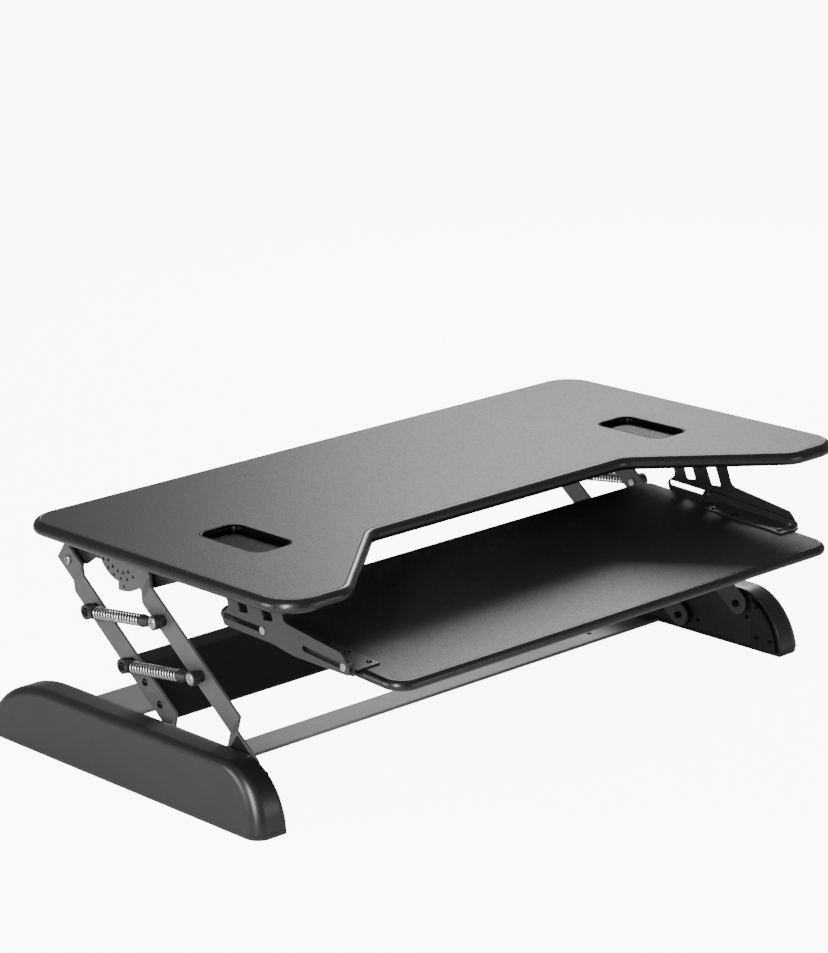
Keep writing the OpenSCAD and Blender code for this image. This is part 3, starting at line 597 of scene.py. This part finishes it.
def foot_shell(name, side):
    """One cover, closed at the back, where the steel side plate sits."""
    low, high = [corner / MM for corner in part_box("foot_cover_" + name)]
    inner, outer = sorted((abs(low.x), abs(high.x)))
    outline = foot_outline(low, high)
    ways = outward(outline, closed=False)
    rings = []
    rim = [(1.2, 3.4), (0.6, 3.4), (0.1, 2.8), (0, 1.4), (0.4, 0.4), (1.4, 0), (9, 0)]
    for across, inset in rim:
        rings.append([(side * (inner + across), (p - w * inset).x, max((p - w * inset).y, low.z))
                      for p, w in zip(outline, ways)])
    lean_out = 11    # how far the outer face leans in over the foot's height
    for turn in list(range(0, 91, 9)) + [95]:
        t = math.radians(min(turn, 90))
        ring = []
        for p, w in zip(outline, ways):
            radius = 13 + 12 * abs(w.x) ** 1.5
            spot = p - w * (radius * (1 - math.cos(t)) + max(turn - 90, 0) * 0.3)
            lean = lean_out * (spot.y - low.z) / (high.z - low.z)
            ring.append((side * (outer - lean - radius + radius * math.sin(t)), spot.x,
                         max(spot.y, low.z)))
        rings.append(ring)
    maker = bmesh.new()
    rows = skin(maker, rings, closed=False)
    maker.faces.new(rows[0])
    maker.faces.new(rows[-1])
    maker.faces.new([row[0] for row in rows] + [row[-1] for row in reversed(rows)])
    return publish("foot_shell_" + name, maker, "base", foot_abs,
                   ["foot_cover_" + name], smooth=38)


for name, side in (("left", -1), ("right", 1)):
    foot_shell(name, side)

# %% [markdown]
# ## Springs
#
# Each spring is one long helix of bright wire between two black seats. It gets shorter and longer
# as the arms swing, so it can't ride on one body.

# %% Springs
joints = {joint["name"]: joint for joint in frame["record"]["behaviour"]["joints"]}
SPRING_X = 549    # distance of the springs' axes from the middle plane


def spring(name, row, side, turns=17, coil=9.1, wire=1.35, start=23, stop=149):
    """A helix from start to stop millimetres along the line from rear pin to front pin."""
    pin = Vector(joints[row + "_spring_swing"]["pos_m"]) / MM
    pin.x = side * SPRING_X
    ahead = Vector(joints[row + "_spring_slide"]["axis"])
    across = Vector((1, 0, 0))
    above = ahead.cross(across)
    steps = turns * 20
    rings = []
    for k in range(steps + 1):
        t = k / steps
        around = across * math.cos(t * turns * math.tau) + above * math.sin(t * turns * math.tau)
        centre = pin + ahead * (start + wire + (stop - start - 2 * wire) * t) + around * coil
        rings.append([centre + (around * math.cos(a) + ahead * math.sin(a)) * wire
                      for a in (math.tau * n / 8 for n in range(8))])
    maker = bmesh.new()
    rows = skin(maker, rings)
    maker.faces.new(rows[0])
    maker.faces.new(rows[-1])
    piece = publish(name, maker, None, spring_wire, [row + "_springs"], smooth=80)
    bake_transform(piece)


for row in ("upper", "lower"):
    for side, word in ((-1, "left"), (1, "right")):
        spring(f"{row}_coil_{word}", row, side)

# %% [markdown]
# ## Screws and bolts
#
# Every head is turned like it would be on a lathe: pairs of place along the axis and radius.
# The driving recess is cut in by two more rings whose radius follows a six-sided or a
# four-pointed shape instead of a circle, the second of them sunk below the first.

# %% Turned heads
SHAPES = {
    "hex": lambda a: 1 / math.cos((a + math.pi / 6) % (math.pi / 3) - math.pi / 6),
    "cross": lambda a: 0.42 + 0.9 * abs(math.cos(2 * a)) ** 6,
}


def turned(maker, profile, spot, side, drive=None, size=2.5, depth=1.6, steps=48):
    """Lathe (x, radius) pairs about an axis along X through (y, z), with a driving recess."""
    turns = [math.tau * k / steps for k in range(steps)]
    rings = [[(side * x, spot[0] + r * math.cos(a), spot[1] + r * math.sin(a)) for a in turns]
             for x, r in profile]
    if drive:
        face = profile[-1][0]
        away = 1 if profile[-1][0] > profile[0][0] else -1
        for sunk, scale in ((0, 1.0), (depth, 0.8)):
            rings.append([(side * (face - away * sunk),
                           spot[0] + size * scale * SHAPES[drive](a) * math.cos(a),
                           spot[1] + size * scale * SHAPES[drive](a) * math.sin(a))
                          for a in turns])
    rows = skin(maker, rings)
    maker.faces.new(rows[0])
    maker.faces.new(rows[-1])


ARM_ANGLE = 38            # degrees above level at rest
ARM_LENGTH = 450          # between an arm's pivots
SPRING_PINS = (229, 345)  # along a rear arm; a front arm's are SPRING_LEAD lower
SPRING_LEAD = 50
PANEL_SCREWS = (142, 189)


def arm_spot(joint, along):
    """(y, z) in millimetres of a point along an arm from the pivot that joint turns about."""
    pivot = Vector(joints[joint]["pos_m"]) / MM
    angle = math.radians(ARM_ANGLE)
    return pivot.y + along * math.cos(angle), pivot.z + along * math.sin(angle)


heads = bmesh.new()
for side in (-1, 1):
    for along in SPRING_PINS:
        spot = arm_spot("lift", along - SPRING_LEAD)
        turned(heads, [(524.5, 6.4), (524.4, 6.8), (527.8, 7), (527.9, 6.8)], spot, side)
        turned(heads, [(527.7, 3.9), (555.1, 3.9), (555.1, 9.2), (555.6, 9.5), (556.3, 9.5),
                       (556.6, 9.1), (556.7, 7.2), (557.5, 6.6), (557.6, 5.4)], spot, side,
               "cross", 3.8, 1.8)
publish("spring_screw_heads", heads, "front_arms", zinc, ["spring_screws"], 40)

heads = bmesh.new()
for side in (-1, 1):
    for along in PANEL_SCREWS:
        spot = arm_spot("rear_swing", along)
        turned(heads, [(522, 5.2), (522.2, 5.5), (525.5, 5.5), (525.6, 3)], spot, side)
        turned(heads, [(524, 3), (533.1, 3), (533.1, 6.3), (533.7, 6.5), (535.0, 5.6),
                       (536.0, 4.4), (536.5, 3.2)], spot, side, "hex", 2.1, 1.5)
publish("panel_screw_heads", heads, "rear_arms", black_oxide, ["panel_screws"], 40)

heads = bmesh.new()
for side in (-1, 1):
    for along in SPRING_PINS:
        spot = arm_spot("rear_swing", along)
        turned(heads, [(524.5, 6.4), (524.4, 6.8), (527.8, 7), (527.9, 6.8)], spot, side)
        turned(heads, [(527.7, 4), (533.1, 4), (533.1, 10.6), (533.6, 11), (542.4, 11),
                       (542.9, 10.4), (542.9, 4), (555.1, 4), (555.1, 6.8), (555.4, 7),
                       (557.0, 6.6), (557.6, 5.6)], spot, side, "hex", 2.6, 1.4)
publish("spring_post_turnings", heads, "rear_arms", black_oxide,
        ["spring_posts"], 40)

heads = bmesh.new()
for side in (-1, 1):
    for joint, inner in (("lift", 516), ("rear_swing", 518)):
        spot = arm_spot(joint, ARM_LENGTH)
        turned(heads, [(506, 4.9), (500.9, 4.9), (500.8, 7.8), (501.2, 8), (505.7, 8),
                       (505.8, 5)], spot, side)
        turned(heads, [(505.5, 5), (inner + 5.2, 5), (inner + 5.2, 7.3), (inner + 5.6, 7.5),
                       (inner + 8.2, 7.2), (inner + 9.2, 5.6)], spot, side, "hex", 3.2, 2.2)
publish("deck_bolt_turnings", heads, "deck", zinc, ["deck_pivot_bolts"], 40)

# %% [markdown]
# ## Finishes on the pieces that keep their engineering shape
#
# Most steel pieces are already the right shape. Each one only needs its finish put in its
# material slot.

# %% Hand out the finishes
coats = {
    # The foot plates carry the arms' lower pivots; their lugs reach above the feet in this dark
    # coat partly as painted shadow between the feet and the arms.
    bracket_coat: ["foot_plate_left", "foot_plate_right", "lift_bracket_left",
                   "lift_bracket_right", "tray_hanger_left", "tray_hanger_right",
                   "tray_bracket_left", "tray_bracket_right", "spring_posts"],
    arm_coat: ["front_arm_left", "front_arm_right", "rear_arm_left", "rear_arm_right"],
    bar_coat: ["front_crossbar", "rear_crossbar"],
    panel_coat: ["cross_panel"],
    zinc: ["spring_screws", "deck_pivot_bolts", "deck_screws", "paddle_pins", "lock_bolt_left",
           "lock_bolt_right", "tray_rear_pins", "tray_front_pins"],
    black_oxide: ["panel_screws", "tray_screws", "arm_pivot_bolts", "arm_pivot_spacers",
                  "base_screws"],
    nylon: ["upper_spring_caps", "upper_spring_eyes", "lower_spring_caps", "lower_spring_eyes",
            "lock_housings", "deck_pivot_spacers"],
    acetal: ["front_arm_pads", "rear_arm_pads", "spring_bushes"],
    rubber: ["floor_pads"],
    well_abs: ["well_trim_left", "well_trim_right", "paddle_left", "paddle_right"],
    sheath: ["release_cables"],
    spring_wire: ["upper_springs", "lower_springs"],
    foot_abs: ["foot_cover_left", "foot_cover_right", "foot_nose_left", "foot_nose_right",
               "foot_base_left", "foot_base_right"],
    worktop_laminate: ["worktop"],
    tray_laminate: ["keyboard_tray"],
}
for coat, names in coats.items():
    for name in names:
        piece = frame["nodes"][name]
        if not piece.data.materials:
            piece.data.materials.append(coat)
        for slot in piece.material_slots:
            slot.material = coat
print("finished", sum(len(names) for names in coats.values()), "engineering pieces")
